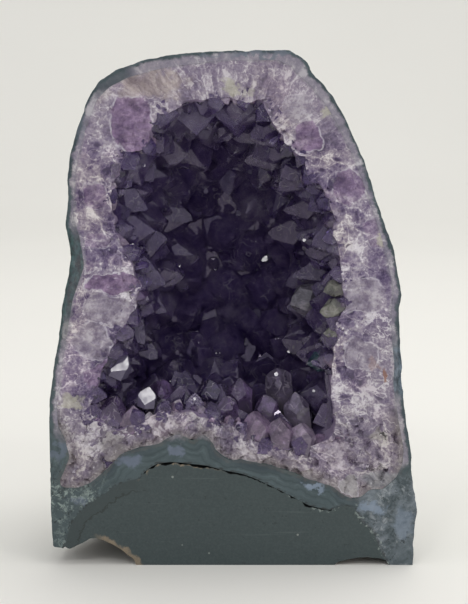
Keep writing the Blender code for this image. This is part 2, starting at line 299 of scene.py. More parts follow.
class Finish:
    """A Principled finish and the means to wire patterns into it."""

    def __init__(self, name):
        self.material = bpy.data.materials.new(name)
        self.material.use_nodes = True
        self.tree = self.material.node_tree
        self.tree.nodes.clear()
        self.output = self.node("OutputMaterial")
        self.shader = self.node("BsdfPrincipled")
        self.join(self.shader.outputs[0], self.output.inputs["Surface"])
        self.place = self.node("TexCoord").outputs["Object"]

    def node(self, kind):
        return self.tree.nodes.new("ShaderNode" + kind)

    def join(self, source, target):
        self.tree.links.new(source, target)

    def put(self, value, socket):
        if isinstance(value, bpy.types.NodeSocket):
            self.join(value, socket)
        else:
            socket.default_value = value

    def set(self, **values):
        for name, value in values.items():
            self.put(value, self.shader.inputs[name.replace("_", " ")])

    def attribute(self, name):
        node = self.node("Attribute")
        node.attribute_name = name
        return node

    def noise(self, scale, detail=3.0, roughness=0.5, distortion=0.0, place=None, colour=False):
        node = self.node("TexNoise")
        self.put(place or self.place, node.inputs["Vector"])
        node.inputs["Scale"].default_value = scale
        node.inputs["Detail"].default_value = detail
        node.inputs["Roughness"].default_value = roughness
        node.inputs["Distortion"].default_value = distortion
        return node.outputs["Color" if colour else "Fac"]

    def cells(self, scale, place=None, feature="F1", output="Distance"):
        node = self.node("TexVoronoi")
        node.feature = feature
        self.put(place or self.place, node.inputs["Vector"])
        node.inputs["Scale"].default_value = scale
        return node.outputs[output]

    def wave(self, scale, distortion):
        node = self.node("TexWave")
        self.put(self.place, node.inputs["Vector"])
        node.inputs["Scale"].default_value = scale
        node.inputs["Distortion"].default_value = distortion
        return node.outputs["Fac"]

    def sum(self, kind, first, second=0.0):
        node = self.node("Math")
        node.operation = kind
        self.put(first, node.inputs[0])
        self.put(second, node.inputs[1])
        return node.outputs[0]

    def times(self, first, second):
        return self.sum("MULTIPLY", first, second)

    def plus(self, first, second):
        return self.sum("ADD", first, second)

    def total(self, first, *others):
        for value in others:
            first = self.plus(first, value)
        return first

    def minus(self, first, second):
        return self.sum("SUBTRACT", first, second)

    def larger(self, first, second):
        return self.sum("MAXIMUM", first, second)

    def vector(self, kind, first, second=(0, 0, 0), scale=None):
        node = self.node("VectorMath")
        node.operation = kind
        self.put(first, node.inputs[0])
        self.put(second, node.inputs[1])
        if scale is not None:
            self.put(scale, node.inputs["Scale"])
        return node.outputs[0]

    def apart(self, vector):
        node = self.node("SeparateXYZ")
        self.join(vector, node.inputs[0])
        return node.outputs

    def ramp(self, value, low, high, start=0.0, end=1.0, smooth=False):
        node = self.node("MapRange")
        node.interpolation_type = "SMOOTHSTEP" if smooth else "LINEAR"
        self.put(value, node.inputs["Value"])
        self.put(low, node.inputs["From Min"])
        self.put(high, node.inputs["From Max"])
        self.put(start, node.inputs["To Min"])
        self.put(end, node.inputs["To Max"])
        return node.outputs[0]

    def patches(self, scale, low, high):
        """A mask of cloudy patches, from none at the low level of the noise to all at the high one."""
        return self.ramp(self.noise(scale, 3, 0.6), low, high)

    def colours(self, value, stops):
        node = self.node("ValToRGB")
        self.join(value, node.inputs[0])
        band = node.color_ramp
        band.elements[0].position = stops[0][0]
        band.elements[0].color = (*stops[0][1], 1)
        band.elements[1].position = stops[-1][0]
        band.elements[1].color = (*stops[-1][1], 1)
        for where, colour in stops[1:-1]:
            band.elements.new(where).color = (*colour, 1)
        return node.outputs[0]

    def mix(self, share, first, second, kind="MIX"):
        node = self.node("Mix")
        node.data_type = "RGBA"
        node.blend_type = kind
        self.put(share, node.inputs[0])
        for value, socket in ((first, node.inputs[6]), (second, node.inputs[7])):
            if isinstance(value, tuple) and len(value) == 3:
                value = (*value, 1)
            self.put(value, socket)
        return node.outputs[2]

    def lay(self, colour, mask, tone, share):
        """Lays a tone over a colour where the mask is, as strongly as the share says."""
        return self.mix(self.times(mask, share), colour, tone)

    def spot(self, across, up, wide, tall):
        """A mask for one feature at a known place, in millimetres on the sawn face, with a ragged edge."""
        if not hasattr(self, "ragged_place"):
            loose = self.vector("SUBTRACT", self.noise(150, 4, 0.6, colour=True), (0.5, 0.5, 0.5))
            self.ragged_place = self.vector("ADD", self.place, self.vector("SCALE", loose, scale=SPOT_STRAYS))
        centred = self.vector("SUBTRACT", self.ragged_place, (across * MM, FRONT, up * MM))
        flat = self.vector("MULTIPLY", centred, (1 / (wide * MM), 0.0, 1 / (tall * MM)))
        node = self.node("VectorMath")
        node.operation = "LENGTH"
        self.join(flat, node.inputs[0])
        return self.ramp(node.outputs["Value"], 1.0, 0.5, smooth=True)

    def cut_crystal(self, colour, list_of, tone):
        """Lays cut crystals with broken white outlines over a colour: across, up, wide, tall, turn, share."""
        pale = shade(206, 200, 210)
        for across, up, wide, tall, turn, strength in list_of:
            if not hasattr(self, "bent_place"):
                loose = self.vector("SUBTRACT", self.noise(95, 3, 0.55, colour=True), (0.5, 0.5, 0.5))
                self.bent_place = self.vector(
                    "ADD", self.place, self.vector("SCALE", loose, scale=CRYSTAL_STRAYS)
                )
                self.outline = self.ramp(self.noise(120, 3, 0.6), 0.42, 0.56)
            centred = self.vector("SUBTRACT", self.bent_place, (across * MM, FRONT, up * MM))
            node = self.node("VectorRotate")
            node.rotation_type = "Y_AXIS"
            node.inputs["Angle"].default_value = math.radians(turn)
            self.join(centred, node.inputs["Vector"])
            parts = self.apart(
                self.vector("MULTIPLY", node.outputs[0], (1 / (wide * MM), 0.0, 1 / (tall * MM)))
            )
            sides = self.sum("POWER", self.sum("ABSOLUTE", parts[0]), 3.0)
            sides = self.plus(sides, self.sum("POWER", self.sum("ABSOLUTE", parts[2]), 3.0))
            away = self.sum("POWER", sides, 1 / 3)
            inside = self.ramp(away, 1.04, 0.9, smooth=True)
            colour = self.lay(colour, inside, tone, strength)
            ring = self.ramp(self.sum("ABSOLUTE", self.minus(away, 1.0)), 0.07, 0.015)
            ring = self.times(ring, self.outline)
            colour = self.lay(colour, ring, pale, 0.8 * strength)
        return colour

    def paint(self, colour, spots, tone):
        """Lays one colour over another at each of the listed spots: across, up, width, height, strength."""
        for across, up, wide, tall, strength in spots:
            mask = self.spot(across, up, wide, tall)
            colour = self.lay(colour, mask, tone, strength)
        return colour

    def bump(self, height, strength, depth):
        node = self.node("Bump")
        node.inputs["Strength"].default_value = strength
        node.inputs["Distance"].default_value = depth
        self.join(height, node.inputs["Height"])
        self.join(node.outputs[0], self.shader.inputs["Normal"])


def polished_basalt():
    f = Finish("polished basalt")
    broad = f.noise(22, 4, 0.6)
    fine = f.noise(900, 3, 0.7)
    base = f.mix(broad, shade(48, 60, 62), shade(58, 70, 71))
    base = f.mix(f.ramp(fine, 0.4, 0.75, 0, 0.6), base, shade(72, 84, 84))
    dark = f.ramp(f.noise(520, 2, 0.6), 0.33, 0.27)
    base = f.lay(base, dark, shade(40, 48, 50), 0.7)
    scratch = f.ramp(f.noise(90, 3, 0.7, place=f.vector("MULTIPLY", f.place, (0.25, 1.0, 6.0))), 0.62, 0.7)
    base = f.lay(base, scratch, shade(92, 104, 103), 0.25)
    speck = f.ramp(f.cells(62), 0.045, 0.03)
    base = f.lay(base, speck, shade(150, 156, 150), 0.7)
    across = f.apart(f.place)[0]
    ragged = f.ramp(f.noise(260, 4, 0.65), 0.3, 0.7, -0.0014, 0.0014)
    edge = f.plus(f.attribute("edge").outputs["Fac"], ragged)
    chipped = f.times(f.ramp(edge, 0.0024, 0.0012), f.ramp(across, -0.072, -0.066))
    arch = f.plus(f.attribute("arch").outputs["Fac"], ragged)
    strip = f.times(f.ramp(arch, 0.0068, 0.0062), f.ramp(across, -0.046, -0.052))
    base = f.lay(base, strip, shade(50, 60, 61), 0.5)
    seam = f.ramp(f.sum("ABSOLUTE", f.minus(arch, 0.0065)), 0.0006, 0.0002)
    seam = f.times(seam, f.ramp(across, -0.046, -0.052))
    base = f.lay(base, seam, shade(38, 46, 46), 0.9)
    flecks = f.times(f.ramp(arch, 0.0016, 0.0008), f.ramp(across, 0.012, 0.03))
    flecks = f.times(flecks, f.patches(420, 0.52, 0.62))
    base = f.mix(flecks, base, shade(128, 138, 134))
    near_middle = f.times(f.ramp(across, -0.05, -0.042), f.ramp(across, -0.004, -0.02))
    flaked = f.times(f.ramp(arch, 0.0020, 0.0012), near_middle)
    flaked = f.times(flaked, f.patches(150, 0.42, 0.54))
    tan = f.mix(f.noise(500, 3, 0.6), shade(92, 86, 74), shade(150, 134, 112))
    base = f.mix(f.larger(chipped, flaked), base, tan)
    f.set(Base_Color=base, Roughness=f.ramp(fine, 0.3, 0.8, 0.38, 0.52), IOR=1.5)
    lines = f.wave(420, 1.5)
    height = f.plus(f.times(lines, 0.25), fine)
    f.bump(height, 0.1, 0.2 * MM)
    return f.material


def crack_shade(f):
    """Painted shade: where a natural surface faces the crack, close behind the sawn face."""
    near = f.ramp(f.attribute("arch").outputs["Fac"], 0.004, 0.0028)
    return f.times(near, f.ramp(f.apart(f.place)[1], -0.03, -0.04))


def rough_basalt():
    f = Finish("rough basalt")
    broad = f.noise(45, 5, 0.6)
    base = f.colours(broad, [(0.3, shade(46, 48, 46)), (0.5, shade(74, 70, 63)), (0.7, shade(112, 98, 80))])
    pits = f.cells(420)
    base = f.mix(f.ramp(pits, 0.12, 0.3), shade(40, 40, 38), base)
    # Painted shade: surfaces facing the crack are darkened almost to black.
    base = f.mix(crack_shade(f), base, shade(20, 22, 23))
    f.set(Base_Color=base, Roughness=0.85, IOR=1.5)
    f.bump(f.plus(f.noise(700, 5, 0.7), pits), 0.6, 0.5 * MM)
    return f.material


def polished_agate():
    f = Finish("polished agate")
    to_outer, height, to_quartz = f.apart(f.attribute("bands").outputs["Vector"])
    across = f.apart(f.place)[0]
    sway = f.ramp(f.noise(90, 4, 0.6), 0, 1, -0.0040, 0.0040)
    depth = f.plus(to_quartz, sway)
    colour = f.mix(f.noise(85, 5, 0.65), shade(40, 58, 62), shade(80, 95, 100))
    band = f.sum("PINGPONG", f.times(depth, 300), 0.5)
    lines = f.times(f.ramp(band, 0.34, 0.5), f.ramp(depth, 0.012, 0.004))
    lines = f.times(lines, f.patches(120, 0.4, 0.6))
    colour = f.lay(colour, lines, shade(100, 116, 122), 0.42)
    dark_lines = f.times(f.ramp(band, 0.2, 0.05), f.ramp(depth, 0.014, 0.005))
    colour = f.lay(colour, dark_lines, shade(34, 52, 55), 0.5)
    dark_margin = f.times(f.ramp(depth, 0.0045, 0.0015), f.patches(60, 0.4, 0.56))
    colour = f.lay(colour, dark_margin, shade(34, 50, 60), 0.8)
    rim_line = f.ramp(
        f.plus(to_quartz, f.ramp(f.noise(400, 3, 0.6), 0.3, 0.7, -0.0005, 0.0005)), 0.0012, 0.0003
    )
    rim_line = f.times(rim_line, f.ramp(height, 0.09, 0.075))
    colour = f.lay(colour, rim_line, shade(98, 92, 88), 0.3)
    side = f.ramp(f.sum("ABSOLUTE", across), 0.062, 0.074)
    foot = f.times(side, f.ramp(height, 0.06, 0.045))
    colour = f.lay(colour, foot, f.mix(f.noise(200, 4, 0.65), shade(28, 42, 45), shade(76, 92, 96)), 0.6)
    blue_grey = f.mix(f.ramp(f.noise(150, 5, 0.7, 0.4), 0.36, 0.64), shade(48, 62, 68), shade(116, 125, 133))
    right_foot = f.times(f.ramp(across, 0.058, 0.068), f.ramp(height, 0.05, 0.043))
    right_foot = f.times(right_foot,
        f.ramp(f.plus(height, swing(f, f.noise(70, 3, 0.6), 0.03)), 0.004, 0.014, 0.45, 0.9)
    )
    colour = f.mix(right_foot, colour, blue_grey)
    crumb = f.ramp(f.noise(340, 5, 0.75, 0.6), 0.5, 0.62)
    flecked = f.times(crumb, f.patches(80, 0.4, 0.58))
    fleck_tone = f.mix(f.ramp(across, -0.02, 0.02), shade(150, 164, 158), shade(150, 156, 160))
    colour = f.lay(colour, flecked, fleck_tone, f.times(foot, 0.8))
    pitted = f.times(f.ramp(f.noise(360, 4, 0.7), 0.42, 0.34), foot)
    colour = f.mix(pitted, colour, shade(26, 38, 42))
    lower = f.ramp(across, 0.06, 0.07, 0, 0.018)
    high = f.ramp(
        f.plus(f.plus(height, lower), f.ramp(f.noise(120, 3, 0.6), 0.3, 0.7, -0.004, 0.004)),
        0.066, 0.074
    )
    slate = f.mix(f.noise(260, 4, 0.6), shade(78, 88, 104), shade(116, 126, 146))
    colour = f.paint(
        colour, [(-54, 55, 8, 4.5, 0.85), (-30, 61, 5, 4, 0.8), (-79, 34, 6, 3, 0.5), (-88, 60, 3.5, 7, 0.6)],
        slate
    )
    colour = f.paint(colour, [(41, 42, 8, 2.6, 0.85), (69, 30, 9, 4.5, 0.8), (86, 22, 6, 10, 0.45)],
                     f.mix(f.noise(300, 4, 0.6), shade(104, 120, 138), shade(146, 160, 178)))
    pale_edge = f.plus(to_outer, f.ramp(f.noise(240, 4, 0.65), 0.3, 0.7, -0.0011, 0.0011))
    milky = f.ramp(pale_edge, 0.0008, 0.0027, smooth=True)
    left_side = f.times(f.ramp(across, -0.066, -0.074), f.ramp(height, 0.105, 0.135))
    left_side = f.times(left_side, f.ramp(height, 0.182, 0.168))
    corner = f.times(f.ramp(across, -0.045, -0.054), f.ramp(height, 0.236, 0.243))
    right_side = f.times(f.ramp(across, 0.075, 0.079), f.ramp(height, 0.122, 0.112))
    right_side = f.times(right_side, f.ramp(height, 0.084, 0.092))
    teal = f.larger(f.larger(left_side, corner), right_side)
    milky = f.times(f.times(milky, high), f.ramp(teal, 0, 1, 1, 0.15))
    pale, mottle = rim_colour(f, 0.0)[:2]
    pale = f.mix(0.45, pale, f.mix(mottle, shade(110, 112, 120), shade(162, 160, 166)))
    ridged = f.noise(420, 4, 0.7, place=f.vector("MULTIPLY", f.place, (1.0, 1.0, 0.45)))
    green = f.mix(f.ramp(ridged, 0.4, 0.62), shade(8, 25, 29), shade(60, 90, 91))
    colour = f.lay(colour, left_side, green, 0.92)
    blue = f.mix(f.ramp(ridged, 0.4, 0.62), shade(34, 50, 62), shade(112, 128, 142))
    colour = f.lay(colour, right_side, blue, 0.9)
    colour = f.mix(milky, colour, pale)
    colour = f.paint(colour, [(16, 259, 22, 2.4, 0.8), (-12, 259.5, 10, 1.6, 0.5), (-76, 226, 4, 12, 0.4)],
                     f.mix(f.noise(300, 4, 0.6), shade(82, 92, 106), shade(118, 126, 138)))
    arch = f.attribute("arch").outputs["Fac"]
    wander = f.plus(arch, swing(f, f.noise(230, 4, 0.65), 0.0016))
    fine_crack = f.ramp(across, 0.05, 0.056, 0.0007, 0.0011)
    # Painted shade of the crack: a dark hairline along the arch.
    crack_shade_line = f.times(f.ramp(wander, fine_crack, 0.0002), f.patches(300, 0.34, 0.46))
    colour = f.lay(colour, crack_shade_line, shade(26, 30, 32), 0.85)
    chips = f.times(f.ramp(wander, 0.0024, 0.0014), f.patches(420, 0.56, 0.64))
    colour = f.lay(colour, chips, shade(150, 160, 156), f.ramp(across, 0.06, 0.064, 0, 0.8))
    f.set(Base_Color=colour, Roughness=0.34, IOR=1.54)
    f.bump(f.noise(420, 4, 0.6), 0.16, 0.4 * MM)
    return f.material


def celadonite_skin():
    f = Finish("celadonite skin")
    broad = f.noise(38, 5, 0.6)
    base = f.colours(broad, [(0.3, shade(36, 56, 60)), (0.48, shade(54, 76, 78)), (0.6, shade(84, 94, 90)),
                             (0.75, shade(122, 118, 104))])
    lumps = f.cells(160, feature="SMOOTH_F1")
    base = f.mix(f.ramp(lumps, 0.5, 0.2), base, shade(48, 72, 76))
    rust = f.ramp(f.noise(55, 5, 0.68), 0.6, 0.74, smooth=True)
    base = f.lay(base, rust, shade(108, 88, 70), 0.65)
    # Painted shade: surfaces facing the crack are darkened almost to black.
    base = f.mix(crack_shade(f), base, shade(20, 22, 23))
    f.set(Base_Color=base, Roughness=0.8, IOR=1.5)
    grain = f.plus(f.times(f.noise(900, 5, 0.7), 0.5), f.times(lumps, -1.6))
    f.bump(f.plus(grain, f.noise(120, 4, 0.6)), 1.0, 1.6 * MM)
    return f.material


QUARTZ_TONES = [
    (0.08, (56, 42, 78)), (0.28, (92, 77, 111)), (0.44, (120, 107, 134)), (0.58, (140, 129, 148)),
    (0.74, (168, 158, 172)), (0.92, (216, 210, 216)),
]


def swing(f, value, amount):
    return f.times(f.minus(value, 0.5), amount)


def loops(f, place, scale, width, level=0.5):
    """Thin closed lines where a cloud pattern passes one level."""
    cloud = f.noise(scale, 2, 0.5, 0.4, place=place)
    away = f.sum("ABSOLUTE", f.minus(cloud, level))
    return f.ramp(away, width, width * 0.25)


def rim_colour(f, zone):
    """Cut crystals side by side: purple hearts, paler margins, white outlines, drawn out at the top."""
    place = f.attribute("rim").outputs["Vector"]
    high = f.ramp(f.apart(f.place)[2], 0.205, 0.228, smooth=True)
    loose = f.vector("SUBTRACT", f.noise(190, 3, 0.6, colour=True), (0.5, 0.5, 0.5))
    slack = f.vector("SUBTRACT", f.noise(48, 2, 0.5, colour=True), (0.5, 0.5, 0.5))
    warped = f.vector("ADD", place, f.vector("SCALE", loose, scale=0.0035))
    warped = f.vector("ADD", warped, f.vector("SCALE", slack, scale=0.009))
    length = f.mix(high, (0.8, 0.8, 0.8), (0.3, 0.3, 0.3))
    node = f.node("CombineXYZ")
    node.inputs[0].default_value = 1.0
    node.inputs[2].default_value = 1.0
    f.join(f.apart(length)[0], node.inputs[1])
    drawn = f.vector("MULTIPLY", warped, node.outputs[0])
    big_edge = f.cells(92, drawn, "DISTANCE_TO_EDGE")
    big_tone = f.apart(f.cells(92, drawn, output="Color"))
    heart = f.cells(92, drawn)
    small_edge = f.cells(215, drawn, "DISTANCE_TO_EDGE")
    small_heart = f.cells(215, drawn)
    small_tone = f.apart(f.cells(215, drawn, output="Color"))
    streaks = f.noise(260, 4, 0.6, place=f.vector("MULTIPLY", warped, (1.0, 0.2, 1.0)))
    broad = f.noise(52, 3, 0.55)
    mottle = f.noise(190, 4, 0.62)
    grain = f.noise(760, 3, 0.65)
    across, _, height = f.apart(f.place)
    low = f.ramp(height, 0.092, 0.076)
    low = f.larger(low, f.times(f.ramp(across, 0.054, 0.066, 0, 0.8), f.ramp(height, 0.132, 0.112)))
    inner = f.ramp(zone, 0.1, 0.6, smooth=True)
    calm = f.times(f.ramp(low, 0, 1, 1, 0.5), f.ramp(high, 0, 1, 1, 0.55))
    tone = f.plus(f.ramp(low, 0, 1, 0.5, 0.54), f.times(swing(f, broad, 1.6), calm))
    tone = f.total(
        tone,
        f.times(high, 0.03),
        swing(f, mottle, 1.2),
        f.times(swing(f, grain, 0.9), f.ramp(low, 0, 1, 0.6, 0.9)),
        f.times(swing(f, streaks, 0.7), f.ramp(high, 0, 1, 0.4, 1.0)),
        f.times(swing(f, big_tone[0], 0.4), inner),
        f.times(f.ramp(heart, 0.1, 0.62, -0.2, 0.16), inner),
    )
    spots = f.times(f.ramp(small_heart, 0.42, 0.18), f.ramp(small_tone[0], 0.5, 0.62))
    tone = f.minus(tone, f.times(spots, 0.38))
    broken = f.patches(110, 0.45, 0.6)
    unbroken = f.ramp(broken, 1, 0)
    line = f.times(f.ramp(big_edge, 0.055, 0.012), broken)
    fine_line = f.times(f.ramp(small_edge, 0.09, 0.02), f.patches(90, 0.5, 0.62))
    ring = f.times(loops(f, warped, 120, 0.016), unbroken)
    tone = f.total(
        tone,
        f.times(line, 0.3),
        f.times(fine_line, f.ramp(low, 0, 1, 0.17, 0.4)),
        f.times(ring, f.ramp(low, 0, 1, 0.34, 0.5)),
        f.ramp(zone, 0.0, 1.0, 0.04, -0.1),
    )
    colour = f.colours(tone, [(where, shade(*parts)) for where, parts in QUARTZ_TONES])
    taupe = f.ramp(f.noise(20, 2, 0.5), 0.5, 0.64, smooth=True)
    colour = f.lay(colour, taupe, f.mix(1.0, colour, (1.0, 0.96, 0.84), "MULTIPLY"), 0.5)
    pink = f.ramp(f.noise(34, 3, 0.5), 0.52, 0.62, smooth=True)
    colour = f.lay(colour, pink, f.mix(1.0, colour, (1.0, 0.90, 0.97), "MULTIPLY"), 0.6)
    colour = f.lay(colour, high, f.mix(streaks, shade(122, 110, 126), shade(176, 166, 172)), 0.3)
    colour = f.lay(colour, low, f.mix(mottle, shade(112, 106, 112), shade(158, 150, 154)), 0.3)
    return colour, mottle, streaks, line


def rim_quartz():
    f = Finish("pale rim quartz")
    zone = f.attribute("zone").outputs["Fac"]
    colour, mottle, streaks, line = rim_colour(f, zone)
    outward = f.apart(f.attribute("rim").outputs["Vector"])[1]
    ragged = f.ramp(f.noise(260, 4, 0.65), 0.3, 0.7, -0.0012, 0.0012)
    margin = f.ramp(f.plus(outward, ragged), 0.0026, 0.0004, smooth=True)
    colour = f.lay(colour, margin, f.mix(mottle, shade(112, 112, 120), shade(160, 158, 164)), 0.55)
    low = f.ramp(f.apart(f.place)[2], 0.086, 0.072)
    haze = f.times(f.ramp(f.plus(outward, ragged), 0.0075, 0.001, smooth=True), low)
    colour = f.lay(colour, haze, f.mix(mottle, shade(70, 66, 66), shade(138, 128, 124)), 0.62)
    taupe_tone = f.mix(f.ramp(streaks, 0.32, 0.66), shade(112, 98, 100), shade(184, 170, 166))
    colour = f.paint(
        colour, [(-38, 245, 20, 8, 0.75), (-52, 240, 8, 8, 0.6), (-66, 240, 6, 6, 0.3)], taupe_tone
    )
    body = f.mix(f.ramp(mottle, 0.35, 0.65), shade(78, 54, 92), shade(150, 124, 158))
    grey_body = f.mix(f.ramp(mottle, 0.35, 0.65), shade(112, 100, 120), shade(168, 160, 172))
    colour = f.cut_crystal(
        colour,
        [
            (-50, 225, 10.5, 13, 12, 0.85), (-60, 146, 14, 5, 0, 0.9), (-67, 100, 9, 6, 30, 0.6),
            (36, 219, 7.5, 7.5, 0, 0.8), (57, 195, 8, 9, 25, 0.6), (71, 171, 5, 8, 0, 0.4),
            (-70, 190, 6, 7, 0, 0.45), (-68, 168, 6, 4, 0, 0.4)
        ],
        body
    )
    colour = f.cut_crystal(
        colour,
        [
            (-62, 132, 13, 8, -12, 0.75), (-71, 117, 10, 8, -30, 0.7), (32, 233, 7, 6, 0, 0.6),
            (64, 140, 10, 9, 10, 0.7), (64, 110, 9, 8, -10, 0.7), (-56, 200, 5, 7, 0, 0.4)
        ],
        grey_body
    )
    colour = f.paint(
        colour, [(-62, 62, 9, 12, 0.6), (-66, 50, 8, 8, 0.45)],
        f.mix(mottle, shade(84, 78, 80), shade(142, 136, 136))
    )
    cream = f.mix(mottle, shade(146, 142, 128), shade(204, 200, 186))
    colour = f.paint(
        colour,
        [
            (-2, 243, 5, 5, 0.8), (6, 240, 4, 3, 0.5), (46, 230, 5, 4, 0.75), (74, 167, 3, 4, 0.8),
            (-82, 86, 8, 4, 0.7), (72, 68, 7, 5, 0.4)
        ],
        cream
    )
    lumpy = f.mix(f.ramp(mottle, 0.42, 0.56), shade(122, 108, 122), shade(206, 198, 204))
    colour = f.paint(
        colour, [(-37, 73, 10, 7, 0.8), (10, 59, 8, 4, 0.5), (-84, 62, 4, 7, 0.5), (53, 58, 9, 10, 0.35)],
        lumpy
    )
    colour = f.paint(
        colour, [(70.5, 129, 12, 0.7, 0.9), (-72, 151, 7, 0.6, 0.6), (58, 176, 6, 0.6, 0.6)],
        shade(206, 200, 208)
    )
    colour = f.paint(colour, [(76, 99, 3.0, 6.5, 0.9), (71, 104, 3, 3, 0.35)], shade(138, 98, 84))
    colour = f.paint(colour, [(75, 69, 2.0, 2.2, 0.95)], shade(52, 48, 50))
    colour = f.paint(
        colour, [(76, 45, 15, 6, 0.75)],
        f.mix(f.ramp(streaks, 0.35, 0.62), shade(78, 84, 94), shade(148, 148, 152))
    )
    # Painted shade of a thin crack across the right foot.
    colour = f.paint(colour, [(69, 51, 10, 0.7, 0.8)], shade(58, 54, 58))
    colour = f.cut_crystal(
        colour, [(58, 41, 5.5, 5, 0, 0.8)], f.mix(mottle, shade(120, 116, 120), shade(190, 186, 186))
    )
    f.set(Base_Color=colour, Roughness=f.ramp(mottle, 0.3, 0.7, 0.12, 0.34), IOR=1.544)
    relief = f.plus(mottle, f.times(line, -0.4))
    relief = f.plus(relief, f.times(f.noise(640, 3, 0.6), 0.4))
    f.bump(relief, 0.3, 0.5 * MM)
    return f.material


def milky_quartz():
    f = Finish("milky quartz")
    clouds = f.noise(90, 4, 0.6)
    f.set(Base_Color=f.mix(clouds, shade(84, 66, 104), shade(150, 136, 156)), Roughness=0.5, IOR=1.544)
    f.bump(f.noise(500, 4, 0.6), 0.3, 0.4 * MM)
    return f.material


AMETHYST_TINTS = (shade(88, 70, 126), shade(138, 118, 174), shade(188, 174, 210))
AMETHYST_LETS_THROUGH = (0.32, 0.22, 0.67, 1)
AMETHYST_DENSITY = 105      # of absorption, per metre
AMETHYST_CLEAR = 0.82


def amethyst():
    f = Finish("amethyst")
    cloud = f.noise(48, 4, 0.6)
    cloud = f.plus(f.times(cloud, 0.6), f.times(f.noise(170, 5, 0.7), 0.4))
    tones = f.colours(cloud, list(zip((0.38, 0.5, 0.62), AMETHYST_TINTS)))
    # Pale veins: partly cracks in the crystals, partly painted highlights on their small edges.
    vein_and_glint = f.times(loops(f, f.place, 120, 0.018), f.patches(60, 0.44, 0.56))
    tones = f.lay(tones, vein_and_glint, shade(238, 232, 246), 0.7)
    # Pale specks: painted glints.
    tones = f.lay(tones, f.ramp(f.noise(800, 2, 0.6), 0.68, 0.74), shade(238, 234, 246), 0.7)
    f.set(Base_Color=tones, Roughness=0.02, IOR=1.544, Transmission_Weight=AMETHYST_CLEAR)
    f.set(Specular_Tint=(0.92, 0.85, 1.0, 1.0))
    volume = f.node("VolumeAbsorption")
    volume.inputs["Color"].default_value = AMETHYST_LETS_THROUGH
    volume.inputs["Density"].default_value = AMETHYST_DENSITY
    f.join(volume.outputs[0], f.output.inputs["Volume"])
    grains = f.times(f.noise(1500, 2, 0.6), f.patches(38, 0.55, 0.66))
    f.bump(f.plus(f.noise(350, 3, 0.5), f.times(grains, 1.4)), 0.1, 0.2 * MM)
    return f.material


def placed_crystal():
    f = Finish("placed crystal")
    tint = f.attribute("tint").outputs["Color"]
    veil = f.noise(140, 5, 0.7, 0.5)
    colour = f.mix(
        1.0, tint,
        f.colours(veil, [(0.34, (0.42, 0.38, 0.5)), (0.5, (0.95, 0.95, 0.95)), (0.64, (1.8, 1.75, 1.8))]),
        "MULTIPLY"
    )
    # Pale veins: partly cracks in the crystals, partly painted highlights on their small edges.
    vein_and_glint = f.times(loops(f, f.place, 170, 0.022), f.patches(70, 0.46, 0.58))
    colour = f.lay(colour, vein_and_glint, shade(196, 186, 200), 0.55)
    # Pale specks: painted glints.
    speck = f.ramp(f.noise(1100, 2, 0.6), 0.68, 0.74)
    colour = f.lay(colour, speck, shade(206, 198, 210), 0.6)
    height = f.attribute("height").outputs["Fac"]
    root = f.ramp(f.plus(height, swing(f, veil, 0.9)), 0.6, 0.05, 0, 0.6)
    colour = f.mix(root, colour, shade(156, 146, 158))
    f.set(Base_Color=colour, Roughness=0.08, IOR=1.544, Transmission_Weight=0.35)
    grains = f.times(f.noise(1300, 2, 0.6), f.patches(60, 0.5, 0.62))
    f.bump(f.plus(f.noise(380, 3, 0.6), grains), 0.14, 0.25 * MM)
    return f.material


def bright_face():
    f = Finish("bright crystal face")
    veil = f.noise(260, 4, 0.65)
    f.set(
        Base_Color=f.mix(veil, shade(62, 54, 80), shade(110, 104, 126)),
        Roughness=f.ramp(veil, 0.3, 0.7, 0.1, 0.24), IOR=1.544
    )
    f.bump(f.noise(420, 3, 0.6), 0.1, 0.2 * MM)
    return f.material


# The four bodies

def crack_depth(place):
    """How far the crack along the arch opens here: wide left of the middle, a hair elsewhere."""
    ragged = noise.fractal(place * 240, 0.6, 2.1, 5)
    here = min(max((place.x + 0.056) / 0.012, 0), 1) * min(max((0.056 - place.x) / 0.01, 0), 1)
    wide = math.exp(-((place.x + 0.018) / 0.022) ** 2)
    return max(0.0, here * (1.12 + 0.45 * wide + 1.2 * ragged)) * MM


def push_out(piece, touching, reach, cracked):
    """Closes the joint with the neighbours, except where the crack along the arch is open."""
    moves = {}
    for index in touching:
        vertex = piece.data.vertices[index]
        moves[index] = vertex.co + vertex.normal * (reach - (crack_depth(vertex.co) if cracked else 0))
    for index, place in moves.items():
        piece.data.vertices[index].co = place


def make_basalt(polished, natural):
    piece = copied_node("basalt_base", "sawn_basalt")
    past_the_saw(piece, 3 * MM, 3 * MM)
    apply_modifier(piece, "REMESH", mode="VOXEL", voxel_size=1.0 * MM)
    touching = free_skin(piece, ["agate_rind"])
    push_out(piece, touching, 0.6 * MM, True)
    rough(piece, 9 * MM, 1.4 * MM)
    rough(piece, 2.5 * MM, 0.8 * MM)
    sawn(piece, 1.6 * MM, BASALT_FACE)
    points = points_of(piece)
    flat = points[:, [0, 2]]
    keep(piece, "edge", distance_to(FOOT_CHIP, flat, closed=False))
    keep(piece, "arch", distance_to(ARCH, flat, closed=False))
    two_finishes(piece, BASALT_FACE, polished, natural)
    smooth_but_sharp(piece, 40)
    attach(piece, "root")
    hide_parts("basalt_base")


